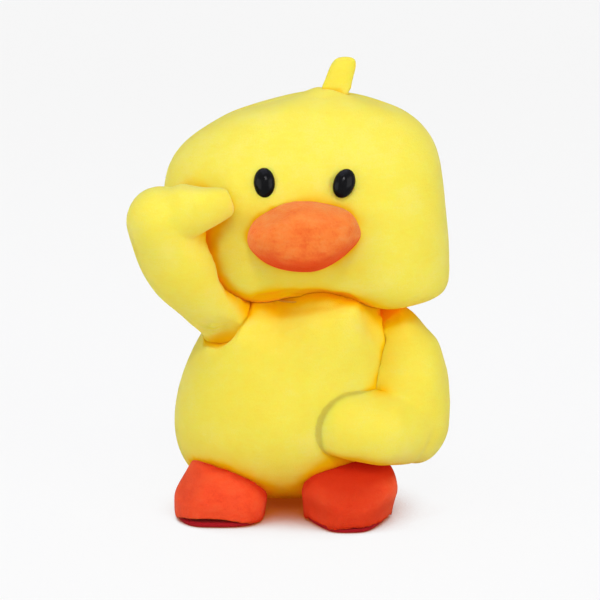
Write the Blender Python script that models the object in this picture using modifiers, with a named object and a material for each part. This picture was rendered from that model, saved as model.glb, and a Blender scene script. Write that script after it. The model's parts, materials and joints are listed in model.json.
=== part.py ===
# Plush duck: a stuffed toy in short-pile plush with posable arms.
# Metres, +Z up. The duck faces -Y, and its own left is +X.
import math

import bmesh
import bpy
from mathutils import Matrix, Vector

# Cloth, thread and fits
SEAM_GAP = 0.0003          # clear space between pieces that touch
PLUSH_WALL = 0.003         # pile and backing together
SWING_GAP = 0.0024         # between the head and an arm that swings past it
CUT_OVERRUN = 0.02         # how far a cutter runs past what it cuts

# Body
BODY_WIDTH = 0.122
BODY_DEPTH = 0.100
BODY_HEIGHT = 0.118
FLOOR_FLAT = 0.0005        # depth of the flat that the rump rests on
PELLET_DEPTH = 0.020       # height of the weighted pouch above the floor

# Neck: the body's top is a ball, and the head has a matching hollow
NECK_SIDE = 0.015          # the neck lies to the duck's left, because it slouches
NECK_BALL_RADIUS = 0.034
NECK_BALL_SINK = 0.019     # ball centre below the top of the body's pear shape
NECK_OPENING = 0.013       # radius of the open necks of the two covers
NECK_THREAD = 0.0012       # thread diameter

# Head
HEAD_WIDTH_SHARE = 1.2852  # of the body's width
HEAD_WIDTH = BODY_WIDTH * HEAD_WIDTH_SHARE
HEAD_DEPTH_SHARE = 0.98     # of the body's depth
HEAD_DEPTH = BODY_DEPTH * HEAD_DEPTH_SHARE
HEAD_HEIGHT = 0.1105
HEAD_SIDE = 0.0095
HEAD_LIFT = 0.002          # underside of the head above the body's pear shape
HEAD_ROLL = math.radians(4.0)
HEAD_YAW = math.radians(-4.0)

# Bill
BILL_WIDTH = 0.058
BILL_HEIGHT = 0.0365
BILL_LENGTH = 0.036        # with the part behind the face
BILL_PROUD = 0.022         # tip ahead of the flat of the face
BILL_REACH = HEAD_DEPTH / 2 + BILL_PROUD
BILL_RISE = 0.0400         # centre above the underside of the head
BILL_SIDE = 0.0110

# Eyes: oval domes on stems, locked by washers inside the head
EYE_WIDTH = 0.0116
EYE_HEIGHT = 0.0164
EYE_THICKNESS = 0.0080
EYE_SINK = 0.0017          # how far the dome presses into the plush
EYE_SPACING = 0.0405
EYE_SIDE = 0.0110
EYE_RISE = 0.0664
RIGHT_EYE_LEAN = math.radians(-8.0)
LEFT_EYE_LEAN = math.radians(22.0)
STEM_DIAMETER = 0.0032
STEM_LENGTH = 0.0140
WASHER_DIAMETER = 0.0160
WASHER_THICKNESS = 0.0016
WASHER_SINK = 0.0014       # below the filling's surface, clear of the curved plush

# Tuft
TUFT_WIDTH = 0.0155
TUFT_THICKNESS = 0.0060
TUFT_LENGTH = 0.0190
TUFT_ROOT_SHARE = 0.9      # of its width that is sewn into the crown
TUFT_SIDE = 0.0275

# Arms: each is a chain of balls at shoulder, elbow and hand
RIGHT_SHOULDER_SHARE = 0.9237     # height, of the body's height
RIGHT_SHOULDER_HEIGHT = BODY_HEIGHT * RIGHT_SHOULDER_SHARE
RIGHT_SHOULDER_RADIUS = 0.0140
RIGHT_SHOULDER_SINK = 0.0110
RIGHT_UPPER_SWELL = 0.0055
RIGHT_ELBOW_RADIUS = 0.0175
RIGHT_FORE_LENGTH = 0.0310
RIGHT_FORE_SWELL = 0.0
RIGHT_HAND_RADIUS = 0.0110
LEFT_SHOULDER_SHARE = 0.8475
LEFT_SHOULDER_HEIGHT = BODY_HEIGHT * LEFT_SHOULDER_SHARE
LEFT_SHOULDER_RADIUS = 0.0145
LEFT_SHOULDER_SINK = 0.0080
LEFT_ELBOW_RISE_SHARE = 0.753     # of its radius that the elbow lies above the foot
LEFT_UPPER_SWELL = 0.0070
LEFT_ELBOW_RADIUS = 0.0200
LEFT_FORE_LENGTH = 0.0510
LEFT_FORE_SWELL = 0.0020
LEFT_HAND_RADIUS = 0.0155
FORE_ROOT_SHARE = 0.93     # the forearm's root against the elbow that it sits on
WIRE_DIAMETER = 0.0020
WIRE_ROOT_SHARE = 0.8      # of the shoulder's radius that the wire reaches past its centre
WIRE_ASIDE = 0.0035        # upper arm's wire outward of its middle, away from the head

# Feet: a stuffed upper over a flat sole panel
FOOT_WIDTH = 0.0525
FOOT_LENGTH = 0.0500
FOOT_HEIGHT = 0.0335       # with the sole
SOLE_THICKNESS = 0.0028
SOLE_ROUND = 0.0012
SOLE_SHARE = 0.95          # of the foot's width and length
FOOT_SPREAD = 0.0355       # each foot's centre from the middle
FOOT_STEP = 0.0020         # the left foot ahead of the middle place, the right one behind it
FOOT_FRONT = 0.0560        # toes ahead of the middle
FOOT_TURN = math.radians(5.0)

# Tail
TAIL_SHARE = 0.305         # height, of the body's height
TAIL_HEIGHT = BODY_HEIGHT * TAIL_SHARE
TAIL_RADIUS = 0.0085
TAIL_TIP_RADIUS = 0.0030
TAIL_LENGTH = 0.0180
TAIL_SINK = 0.0040

# Directions, as shares of a length along X, Y and Z
RIGHT_SHOULDER_SHARES = (-0.906, -0.423, 0.0)
RIGHT_UPPER_SHARES = (-0.1954, -0.2624, 0.5253)     # of the head's width, depth and height
RIGHT_FORE_SHARES = (0.86, -0.24, 0.38)
RIGHT_SWING_SHARES = (0.409, -0.875, 0.259)     # axis that the raised arm lowers about
LEFT_SHOULDER_SHARES = (0.995, -0.10, 0.0)
LEFT_UPPER_SHARES = (0.1633, -0.1224, -1.0)     # of the elbow's drop
LEFT_FORE_SHARES = (-0.665, -0.745, 0.08)
TAIL_SHARES = (0.0, 0.85, 0.53)

# Rings of the stuffed forms, from bottom to top, as shares of half of each size:
# height, half width, front, back, sideways shift, backward shift
BODY_RING_SHARES = (
    (0.00, 0.42, 0.36, 0.42, -0.02, 0.36),
    (0.10, 0.84, 0.76, 0.80, -0.03, 0.20),
    (0.33, 1.04, 1.06, 1.02, -0.03, 0.02),
    (0.60, 1.00, 1.02, 0.98, 0.01, 0.00),
    (0.86, 0.88, 0.90, 0.86, 0.12, 0.00),
    (1.00, 0.64, 0.60, 0.54, 0.17, 0.00),
)
HEAD_RING_SHARES = (
    (0.00, 0.86, 0.62, 0.64, 0.08, 0.00),
    (0.06, 1.08, 0.98, 0.94, 0.04, 0.00),
    (0.36, 1.05, 1.06, 1.04, 0.00, 0.00),
    (0.66, 1.04, 0.96, 0.98, -0.02, 0.02),
    (0.90, 0.68, 0.68, 0.76, 0.09, 0.04),
    (1.00, 0.22, 0.28, 0.34, 0.14, 0.06),
)
BILL_RING_SHARES = (
    (0.00, 0.84, 0.86, 0.86, 0.00, 0.00),
    (0.50, 1.04, 1.04, 1.04, 0.00, 0.00),
    (0.88, 0.80, 0.78, 0.78, 0.00, 0.00),
    (1.00, 0.44, 0.40, 0.40, 0.00, 0.00),
)
RIGHT_FOOT_RING_SHARES = (
    (0.00, 0.88, 0.90, 0.88, 0.02, 0.00),
    (0.34, 1.03, 1.03, 1.00, 0.00, 0.02),
    (0.82, 0.68, 0.68, 0.84, -0.06, 0.22),
    (1.00, 0.40, 0.28, 0.44, -0.14, 0.36),
)
LEFT_FOOT_RING_SHARES = (
    (0.00, 0.82, 0.90, 0.88, 0.00, 0.00),
    (0.34, 1.00, 1.03, 1.00, 0.02, 0.02),
    (0.82, 0.92, 0.68, 0.84, 0.02, 0.22),
    (1.00, 0.58, 0.28, 0.44, 0.02, 0.36),
)
TUFT_RING_SHARES = (
    (0.00, 1.00, 0.80, 0.80, 0.00, 0.00),
    (0.35, 0.72, 1.00, 1.00, 0.14, 0.00),
    (0.80, 0.68, 1.00, 1.00, 0.22, 0.00),
    (1.00, 0.44, 0.60, 0.60, 0.26, 0.00),
)
HEAD_SQUARENESS = 2.7
BODY_SQUARENESS = 2.0
BILL_SQUARENESS = 2.2
FOOT_SQUARENESS = 2.4
TUFT_SQUARENESS = 2.0

RING_POINTS = 8
LIMB_SIDES = 16
BALL_SIDES = 24
ROUND_SIDES = 16
CAP_STEPS = 4
SWELL_STEPS = 4
WIRE_SIDES = 8
THREAD_SIDES = 6
TUFT_SIDES = 12
SOLE_POINTS = 20
OUTER_LEVELS = 2
INNER_LEVELS = 1

YELLOW = (0.93, 0.74, 0.10, 1.0)
ORANGE = (0.90, 0.26, 0.07, 1.0)
DEEP_ORANGE = (0.78, 0.10, 0.03, 1.0)
SOLE_RED = (0.45, 0.03, 0.01, 1.0)
BLACK = (0.01, 0.01, 0.01, 1.0)
WHITE = (0.85, 0.85, 0.82, 1.0)
STEEL = (0.55, 0.55, 0.56, 1.0)
PLUSH_ROUGHNESS = 0.9
FILLING_ROUGHNESS = 1.0
WASHER_ROUGHNESS = 0.5
WIRE_ROUGHNESS = 0.35
EYE_ROUGHNESS = 0.08
METAL = 1.0


# Scene

def clear_scene():
    for thing in list(bpy.data.objects):
        bpy.data.objects.remove(thing, do_unlink=True)


def new_collection(name):
    group = bpy.data.collections.new(name)
    bpy.context.scene.collection.children.link(group)
    return group


clear_scene()
PARTS = new_collection("plush_duck")
CUTTERS = new_collection("cutters")
ROOT = bpy.data.objects.new("duck_origin", None)
PARTS.objects.link(ROOT)


def add_object(name, mesh, group):
    thing = bpy.data.objects.new(name, mesh)
    group.objects.link(thing)
    thing.parent = ROOT
    if group is CUTTERS:
        thing.hide_render = True
        thing.display_type = "WIRE"
    return thing


def plush_material(name, colour, roughness, metallic=0.0):
    material = bpy.data.materials.new(name)
    material.use_nodes = True
    shader = material.node_tree.nodes["Principled BSDF"]
    shader.inputs["Base Color"].default_value = colour
    shader.inputs["Roughness"].default_value = roughness
    shader.inputs["Metallic"].default_value = metallic
    return material


def finish(piece, colour, roughness, metallic=0.0):
    piece.data.materials.clear()
    piece.data.materials.append(plush_material(piece.name, colour, roughness, metallic))
    piece.data.shade_smooth()
    return piece


def evaluated_points(thing):
    bpy.context.view_layer.update()
    seen = thing.evaluated_get(bpy.context.evaluated_depsgraph_get())
    return [seen.matrix_world @ corner.co for corner in seen.data.vertices]


def surface_hit(form, origin, direction):
    """Where a ray meets a form, and the form's outward direction there."""
    bpy.context.view_layer.update()
    seen = form.evaluated_get(bpy.context.evaluated_depsgraph_get())
    inward = seen.matrix_world.inverted()
    local_origin = inward @ origin
    local_direction = (inward.to_3x3() @ direction).normalized()
    found, place, normal, _ = seen.ray_cast(local_origin, local_direction)
    assert found, "no surface of " + form.name + " on this line"
    return seen.matrix_world @ place, (seen.matrix_world.to_3x3() @ normal).normalized()


# Modelling operations

def boolean(piece, other, operation):
    step = piece.modifiers.new(operation.lower() + "_" + other.name, "BOOLEAN")
    step.operation = operation
    step.object = other
    step.solver = "EXACT"
    return piece


def cut(piece, *cutters):
    for cutter in cutters:
        boolean(piece, cutter, "DIFFERENCE")
    return piece


def join(piece, *others):
    for other in others:
        boolean(piece, other, "UNION")
    return piece


def subdivide(piece, levels):
    """Round a cage, and split its faces alike on every copy of it."""
    step = piece.modifiers.new("rounded", "SUBSURF")
    step.levels = levels
    step.render_levels = levels
    split = piece.modifiers.new("split", "TRIANGULATE")
    split.quad_method = "FIXED"
    return piece


def swell(piece, distance):
    """Move the whole surface out (or in, if negative) along its normals."""
    step = piece.modifiers.new("swollen", "DISPLACE")
    step.direction = "NORMAL"
    step.mid_level = 0.0
    step.strength = distance
    return piece


def ring_point(angle, half_width, front, back, squareness):
    """A point of a rounded section whose front and back may differ in depth."""
    x, y = math.cos(angle), math.sin(angle)
    power = 2 / squareness
    half_depth = back if y > 0 else front
    return (math.copysign(abs(x) ** power, x) * half_width,
            math.copysign(abs(y) ** power, y) * half_depth)


def ring_cage(rings, squareness):
    """A loft of unlike sections in unit size, closed at both ends."""
    mesh = bpy.data.meshes.new("cage")
    shape = bmesh.new()
    loops = []
    for height, half_width, front, back, side, setback in rings:
        loop = []
        for step in range(RING_POINTS):
            angle = 2 * math.pi * step / RING_POINTS
            x, y = ring_point(angle, half_width, front, back, squareness)
            loop.append(shape.verts.new((x + side, y + setback, height)))
        loops.append(loop)
    for lower, upper in zip(loops, loops[1:]):
        for step in range(RING_POINTS):
            after = (step + 1) % RING_POINTS
            shape.faces.new((lower[step], lower[after], upper[after], upper[step]))
    shape.faces.new(list(reversed(loops[0])))
    shape.faces.new(loops[-1])
    shape.to_mesh(mesh)
    shape.free()
    return mesh


def stuffed_mesh(name, width, depth, height, rings, squareness):
    """A cage whose rounded surface measures exactly width by depth by height."""
    mesh = ring_cage(rings, squareness)
    trial = subdivide(add_object("trial", mesh, CUTTERS), OUTER_LEVELS)
    points = evaluated_points(trial)
    low = Vector([min(point[axis] for point in points) for axis in range(3)])
    high = Vector([max(point[axis] for point in points) for axis in range(3)])
    bpy.data.objects.remove(trial, do_unlink=True)
    for corner in mesh.vertices:
        corner.co.x *= width / (high.x - low.x)
        corner.co.y *= depth / (high.y - low.y)
        corner.co.z = (corner.co.z - low.z) * height / (high.z - low.z)
    mesh.name = name
    return mesh


def place(thing, spot, turn=None):
    thing.location = spot
    if turn is not None:
        thing.rotation_mode = "QUATERNION"
        thing.rotation_quaternion = turn
    return thing


def turned(name, profile, group, sides=LIMB_SIDES, closed=False):
    """A profile of (radius, height) points, top to bottom, turned about Z."""
    mesh = bpy.data.meshes.new(name)
    edges = [(index, index + 1) for index in range(len(profile) - 1)]
    if closed:
        edges.append((len(profile) - 1, 0))
    mesh.from_pydata([(radius, 0.0, height) for radius, height in profile], edges, [])
    piece = add_object(name, mesh, group)
    step = piece.modifiers.new("turned", "SCREW")
    step.axis = "Z"
    step.angle = 2 * math.pi
    step.steps = sides
    step.render_steps = sides
    step.use_merge_vertices = True
    step.merge_threshold = 0.00001
    step.use_smooth_shade = True
    return piece


def along(direction):
    return direction.normalized().to_track_quat("Z", "Y")


def limb_profile(start_radius, swelling, end_radius, length):
    """Half-round ends joined by a smooth swelling side, from the far pole to the near one."""
    profile = []
    for step in range(CAP_STEPS + 1):
        angle = math.pi / 2 * (1 - step / CAP_STEPS)
        profile.append((end_radius * math.cos(angle), length + end_radius * math.sin(angle)))
    for step in range(1, SWELL_STEPS):
        share = 1 - step / SWELL_STEPS
        ease = share * share * (3 - 2 * share)
        radius = start_radius + (end_radius - start_radius) * ease
        profile.append((radius + swelling * math.sin(math.pi * share) ** 2, length * share))
    for step in range(CAP_STEPS + 1):
        angle = math.pi / 2 * step / CAP_STEPS
        profile.append((start_radius * math.cos(angle), -start_radius * math.sin(angle)))
    profile[0] = (0.0, profile[0][1])
    profile[-1] = (0.0, profile[-1][1])
    return profile


def limb(name, start, direction, start_radius, swelling, end_radius, length, group):
    profile = limb_profile(start_radius, swelling, end_radius, length)
    return place(turned(name, profile, group), start, along(direction))


def ball(name, centre, radius, group=CUTTERS, sides=BALL_SIDES):
    mesh = bpy.data.meshes.new(name)
    shape = bmesh.new()
    bmesh.ops.create_uvsphere(shape, u_segments=sides, v_segments=sides // 2, radius=radius)
    shape.to_mesh(mesh)
    shape.free()
    return place(add_object(name, mesh, group), centre)


def rod(name, start, end, radius, group=CUTTERS, sides=ROUND_SIDES):
    mesh = bpy.data.meshes.new(name)
    shape = bmesh.new()
    bmesh.ops.create_cone(shape, cap_ends=True, segments=sides, radius1=radius, radius2=radius,
                          depth=(end - start).length)
    shape.to_mesh(mesh)
    shape.free()
    return place(add_object(name, mesh, group), (start + end) / 2, along(end - start))


def block(name, low, high):
    mesh = bpy.data.meshes.new(name)
    shape = bmesh.new()
    bmesh.ops.create_cube(shape, size=1.0)
    bmesh.ops.transform(shape, matrix=Matrix.LocRotScale((low + high) / 2, None, high - low),
                        verts=shape.verts)
    shape.to_mesh(mesh)
    shape.free()
    return add_object(name, mesh, CUTTERS)


def clear_radius(radius, sides=LIMB_SIDES):
    """Radius of a faceted hollow whose flats stay one gap clear of a ball."""
    return (radius + SEAM_GAP) / math.cos(math.pi / sides) ** 2


ACROSS = Vector((1.0, 0.0, 0.0))
FORWARD = Vector((0.0, -1.0, 0.0))
UP = Vector((0.0, 0.0, 1.0))

# Where the main pieces lie
NECK = Vector((NECK_SIDE, 0.0, BODY_HEIGHT - NECK_BALL_SINK))
HEAD_BASE = Vector((HEAD_SIDE, 0.0, BODY_HEIGHT + HEAD_LIFT))
HEAD_TURN = Matrix.Rotation(HEAD_YAW, 3, "Z") @ Matrix.Rotation(HEAD_ROLL, 3, "Y")
HEAD_QUAT = HEAD_TURN.to_quaternion()
SOCKET_RADIUS = clear_radius(NECK_BALL_RADIUS, BALL_SIDES)

body_mesh = stuffed_mesh("body_form", BODY_WIDTH, BODY_DEPTH, BODY_HEIGHT + FLOOR_FLAT,
                         BODY_RING_SHARES, BODY_SQUARENESS)
head_mesh = stuffed_mesh("head_form", HEAD_WIDTH, HEAD_DEPTH, HEAD_HEIGHT,
                         HEAD_RING_SHARES, HEAD_SQUARENESS)


def body_form(name, levels, distance, group=CUTTERS):
    form = subdivide(add_object(name, body_mesh.copy(), group), levels)
    if distance:
        swell(form, distance)
    return place(form, Vector((0.0, 0.0, -FLOOR_FLAT)))


def head_form(name, levels, distance, group=CUTTERS):
    form = subdivide(add_object(name, head_mesh.copy(), group), levels)
    if distance:
        swell(form, distance)
    return place(form, HEAD_BASE, HEAD_QUAT)


body_outside = body_form("body_outside", OUTER_LEVELS, 0)
head_outside = head_form("head_outside", OUTER_LEVELS, 0)
body_near = body_form("body_near", OUTER_LEVELS, SEAM_GAP)
head_near = head_form("head_near", OUTER_LEVELS, SEAM_GAP)
head_room = head_form("head_room", OUTER_LEVELS, SWING_GAP)
join(body_near, ball("dome_near", NECK, NECK_BALL_RADIUS + SEAM_GAP))
floor_block = block("floor_block", Vector((-BODY_WIDTH, -BODY_DEPTH, -CUT_OVERRUN)),
                    Vector((BODY_WIDTH, BODY_DEPTH, 0.0)))


def body_surface(height, shares):
    middle = Vector((NECK_SIDE / 2, 0.0, height))
    return surface_hit(body_outside, middle, Vector(shares).normalized())[0]


RIGHT_SHOULDER = body_surface(RIGHT_SHOULDER_HEIGHT, RIGHT_SHOULDER_SHARES) + (
    Vector(RIGHT_SHOULDER_SHARES).normalized() * (RIGHT_SHOULDER_RADIUS - RIGHT_SHOULDER_SINK))
LEFT_SHOULDER = body_surface(LEFT_SHOULDER_HEIGHT, LEFT_SHOULDER_SHARES) + (
    Vector(LEFT_SHOULDER_SHARES).normalized() * (LEFT_SHOULDER_RADIUS - LEFT_SHOULDER_SINK))
RIGHT_UPPER = Vector([share * size for share, size in
                      zip(RIGHT_UPPER_SHARES, (HEAD_WIDTH, HEAD_DEPTH, HEAD_HEIGHT))])
RIGHT_ELBOW = RIGHT_SHOULDER + RIGHT_UPPER
LEFT_DROP = LEFT_SHOULDER.z - FOOT_HEIGHT - LEFT_ELBOW_RADIUS * LEFT_ELBOW_RISE_SHARE
LEFT_UPPER = Vector(LEFT_UPPER_SHARES) * LEFT_DROP
LEFT_ELBOW = LEFT_SHOULDER + LEFT_UPPER
TAIL_ROOT = body_surface(TAIL_HEIGHT, -FORWARD) - FORWARD * (TAIL_RADIUS - TAIL_SINK)


def armholes():
    """The hollows in the body that the arms and the tail are sewn into."""
    return (
        ball("right_armhole", RIGHT_SHOULDER, clear_radius(RIGHT_SHOULDER_RADIUS)),
        ball("left_armhole", LEFT_SHOULDER, clear_radius(LEFT_SHOULDER_RADIUS)),
        ball("tail_hole", TAIL_ROOT, clear_radius(TAIL_RADIUS)),
    )


# Body

def make_body():
    holes = armholes()
    inside = join(body_form("body_inside", INNER_LEVELS, -PLUSH_WALL),
                  ball("dome_inside", NECK, NECK_BALL_RADIUS - PLUSH_WALL))
    opening = rod("body_neck_hole", NECK, NECK + UP * (NECK_BALL_RADIUS + CUT_OVERRUN),
                  NECK_OPENING)
    cover = body_form("body_cover", OUTER_LEVELS, 0, PARTS)
    join(cover, ball("dome", NECK, NECK_BALL_RADIUS))
    cut(cover, inside, opening, floor_block, *holes)
    finish(cover, YELLOW, PLUSH_ROUGHNESS)

    pouch_top = block("above_pouch", Vector((-BODY_WIDTH, -BODY_DEPTH, PELLET_DEPTH)),
                      Vector((BODY_WIDTH, BODY_DEPTH, BODY_HEIGHT + CUT_OVERRUN)))
    pouch = body_form("pellet_bag", INNER_LEVELS, -PLUSH_WALL - SEAM_GAP, PARTS)
    cut(pouch, pouch_top)
    finish(pouch, WHITE, FILLING_ROUGHNESS)

    under_filling = block("below_filling", Vector((-BODY_WIDTH, -BODY_DEPTH, -CUT_OVERRUN)),
                          Vector((BODY_WIDTH, BODY_DEPTH, PELLET_DEPTH + SEAM_GAP)))
    filling = body_form("body_filling", INNER_LEVELS, -PLUSH_WALL - SEAM_GAP, PARTS)
    join(filling, ball("dome_filling", NECK, NECK_BALL_RADIUS - PLUSH_WALL - SEAM_GAP))
    cut(filling, under_filling, *holes)
    finish(filling, WHITE, FILLING_ROUGHNESS)


# Head

def make_neck_thread():
    """The thread lies on the neck ball where the head's underside meets it."""
    reach = SOCKET_RADIUS
    drop = NECK_BALL_SINK + HEAD_LIFT
    tilt = math.acos(drop / reach)
    ring_radius = reach * math.sin(tilt)
    centre = NECK + Vector((0.0, 0.0, drop))
    thread_radius = NECK_THREAD / 2
    for name, group, radius in (("neck_thread", PARTS, thread_radius),
                                ("thread_groove", CUTTERS,
                                 clear_radius(thread_radius, THREAD_SIDES))):
        profile = []
        for step in range(THREAD_SIDES):
            angle = 2 * math.pi * step / THREAD_SIDES
            profile.append((ring_radius + radius * math.cos(angle), -radius * math.sin(angle)))
        place(turned(name, profile, group, BALL_SIDES, closed=True), centre)


def eye_places():
    """Centre of each eye on the face, its outward direction and its lean."""
    places = {}
    for name, sign, lean in (("right", -1, RIGHT_EYE_LEAN), ("left", 1, LEFT_EYE_LEAN)):
        x = EYE_SIDE + sign * EYE_SPACING / 2
        origin = Vector((x, -HEAD_DEPTH, HEAD_BASE.z + EYE_RISE))
        spot, outward = surface_hit(head_outside, origin, -FORWARD)
        places[name] = (spot, outward, lean)
    return places


def eye_solid(name, group, spot, outward, lean, margin):
    """An oval dome, with its stem running back into the head."""
    centre = spot + outward * (EYE_THICKNESS / 2 - EYE_SINK)
    dome = ball(name, centre, 1.0, group, ROUND_SIDES)
    for corner in dome.data.vertices:
        corner.co.x *= EYE_WIDTH / 2 + margin
        corner.co.y *= EYE_HEIGHT / 2 + margin
        corner.co.z *= EYE_THICKNESS / 2 + margin
    level = UP.cross(outward).normalized()
    face = Matrix((level, outward.cross(level), outward)).transposed()
    face = face @ Matrix.Rotation(-lean, 3, "Z")
    place(dome, centre, face.to_quaternion())
    stem = rod(name + "_stem", centre, centre - outward * (STEM_LENGTH + margin),
               STEM_DIAMETER / 2 + margin, sides=WIRE_SIDES)
    return join(dome, stem)


def make_head():
    places = eye_places()
    hollow = ball("neck_socket", NECK, SOCKET_RADIUS)
    hollow_wall = ball("socket_wall", NECK, SOCKET_RADIUS + PLUSH_WALL)
    hollow_filling = ball("socket_filling", NECK, SOCKET_RADIUS + PLUSH_WALL + SEAM_GAP)
    opening = rod("head_neck_hole", NECK, NECK + UP * (SOCKET_RADIUS + CUT_OVERRUN), NECK_OPENING)
    inside = cut(head_form("head_inside", INNER_LEVELS, -PLUSH_WALL), hollow_wall)
    cover = head_form("head_cover", OUTER_LEVELS, 0, PARTS)
    cut(cover, hollow, inside, opening, bpy.data.objects["thread_groove"])
    filling = head_form("head_filling", INNER_LEVELS, -PLUSH_WALL - SEAM_GAP, PARTS)
    cut(filling, hollow_filling)
    for name, (spot, outward, lean) in places.items():
        eye = eye_solid(name + "_eye", PARTS, spot, outward, lean, 0.0)
        finish(eye, BLACK, EYE_ROUGHNESS)
        seat = eye_solid(name + "_eye_seat", CUTTERS, spot, outward, lean, SEAM_GAP)
        washer_face = surface_hit(bpy.data.objects["head_filling"], spot + outward * CUT_OVERRUN,
                                  -outward)[0] - outward * WASHER_SINK
        washer_back = washer_face - outward * (WASHER_THICKNESS + SEAM_GAP)
        pocket = rod(name + "_washer_pocket", washer_face + outward * CUT_OVERRUN, washer_back,
                     WASHER_DIAMETER / 2 + SEAM_GAP)
        washer = rod(name + "_eye_washer", washer_face, washer_back + outward * SEAM_GAP,
                     WASHER_DIAMETER / 2, PARTS)
        cut(washer, seat)
        finish(washer, WHITE, WASHER_ROUGHNESS)
        cut(cover, seat)
        cut(filling, pocket, seat)
    finish(cover, YELLOW, PLUSH_ROUGHNESS)
    finish(filling, WHITE, FILLING_ROUGHNESS)
    finish(bpy.data.objects["neck_thread"], YELLOW, PLUSH_ROUGHNESS)


def make_bill():
    mesh = stuffed_mesh("bill", BILL_WIDTH, BILL_HEIGHT, BILL_LENGTH, BILL_RING_SHARES,
                        BILL_SQUARENESS)
    bill = subdivide(add_object("bill", mesh, PARTS), OUTER_LEVELS)
    spot = Vector((BILL_SIDE, BILL_LENGTH - BILL_REACH, HEAD_BASE.z + BILL_RISE))
    place(bill, spot, Matrix.Rotation(math.pi / 2, 3, "X").to_quaternion())
    cut(bill, head_near)
    finish(bill, ORANGE, PLUSH_ROUGHNESS)


def make_tuft():
    """The tuft stands in a seam on the crown and folds about the bottom of its root."""
    top = Vector((TUFT_SIDE, 0.0, HEAD_BASE.z + HEAD_HEIGHT + CUT_OVERRUN))
    spot, outward = surface_hit(head_outside, top, -UP)
    side = outward.cross(FORWARD).normalized()
    root = spot + outward * SEAM_GAP
    half = side * TUFT_WIDTH * TUFT_ROOT_SHARE / 2
    radius = TUFT_THICKNESS / 2
    mesh = stuffed_mesh("tuft", TUFT_WIDTH, TUFT_THICKNESS, TUFT_LENGTH, TUFT_RING_SHARES,
                        TUFT_SQUARENESS)
    tuft = subdivide(add_object("tuft", mesh, PARTS), INNER_LEVELS)
    face = Matrix((side, outward.cross(side), outward)).transposed()
    place(tuft, root, face.to_quaternion())
    root_roll = rod("tuft_root", root - half, root + half, radius, sides=TUFT_SIDES)
    join(tuft, root_roll)
    groove = rod("tuft_groove", root - half - side * SEAM_GAP, root + half + side * SEAM_GAP,
                 clear_radius(radius, TUFT_SIDES), sides=TUFT_SIDES)
    cut(bpy.data.objects["head_cover"], groove)
    finish(tuft, YELLOW, PLUSH_ROUGHNESS)
    return root, side


# Arms

def make_arm(side, shoulder, elbow, upper_line, fore_shares, sizes):
    shoulder_radius, upper_swell, elbow_radius, upper, fore_swell, hand_radius, fore = sizes
    upper_way = upper_line.normalized()
    fore_way = Vector(fore_shares).normalized()
    wire_bore = WIRE_DIAMETER / 2 + SEAM_GAP
    outward = ACROSS * math.copysign(WIRE_ASIDE, shoulder.x)
    wire_start = shoulder + outward

    upper_arm = limb(side + "_upper_arm", shoulder, upper_way, shoulder_radius, upper_swell,
                     elbow_radius, upper, PARTS)
    cut(upper_arm, body_near, head_room)
    join(upper_arm, ball(side + "_shoulder_ball", shoulder, shoulder_radius, sides=LIMB_SIDES))
    bore_end = wire_start + upper_way * upper
    bore = rod(side + "_upper_bore", wire_start - upper_way * (shoulder_radius + SEAM_GAP), bore_end,
               wire_bore, sides=WIRE_SIDES)
    cut(upper_arm, bore)
    finish(upper_arm, YELLOW, PLUSH_ROUGHNESS)

    keep_out = limb(side + "_elbow_room", shoulder, upper_way, clear_radius(shoulder_radius),
                    upper_swell, clear_radius(elbow_radius), upper, CUTTERS)
    forearm = limb(side + "_forearm", elbow, fore_way, elbow_radius * FORE_ROOT_SHARE, fore_swell,
                   hand_radius, fore, PARTS)
    cut(forearm, keep_out, body_near, head_room)
    fore_bore = rod(side + "_fore_bore", elbow, elbow + fore_way * fore, wire_bore,
                    sides=WIRE_SIDES)
    cut(forearm, fore_bore)
    finish(forearm, YELLOW, PLUSH_ROUGHNESS)

    upper_wire = rod(side + "_upper_arm_wire",
                     wire_start - upper_way * shoulder_radius * WIRE_ROOT_SHARE,
                     bore_end - upper_way * SEAM_GAP, WIRE_DIAMETER / 2, PARTS, WIRE_SIDES)
    fore_wire = rod(side + "_forearm_wire", elbow + fore_way * clear_radius(elbow_radius),
                    elbow + fore_way * (fore - SEAM_GAP), WIRE_DIAMETER / 2, PARTS, WIRE_SIDES)
    finish(upper_wire, STEEL, WIRE_ROUGHNESS, METAL)
    finish(fore_wire, STEEL, WIRE_ROUGHNESS, METAL)


# Feet

def foot_outline_mesh(name, width, length, thickness):
    mesh = bpy.data.meshes.new(name)
    shape = bmesh.new()
    loop = []
    for step in range(SOLE_POINTS):
        angle = 2 * math.pi * step / SOLE_POINTS
        x, y = ring_point(angle, width / 2, length / 2, length / 2, FOOT_SQUARENESS)
        loop.append(shape.verts.new((x, y, 0.0)))
    base = shape.faces.new(list(reversed(loop)))
    raised = bmesh.ops.extrude_face_region(shape, geom=[base])
    moved = [item for item in raised["geom"] if isinstance(item, bmesh.types.BMVert)]
    bmesh.ops.translate(shape, verts=moved, vec=(0.0, 0.0, thickness))
    bmesh.ops.recalc_face_normals(shape, faces=shape.faces)
    shape.to_mesh(mesh)
    shape.free()
    return mesh


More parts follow.
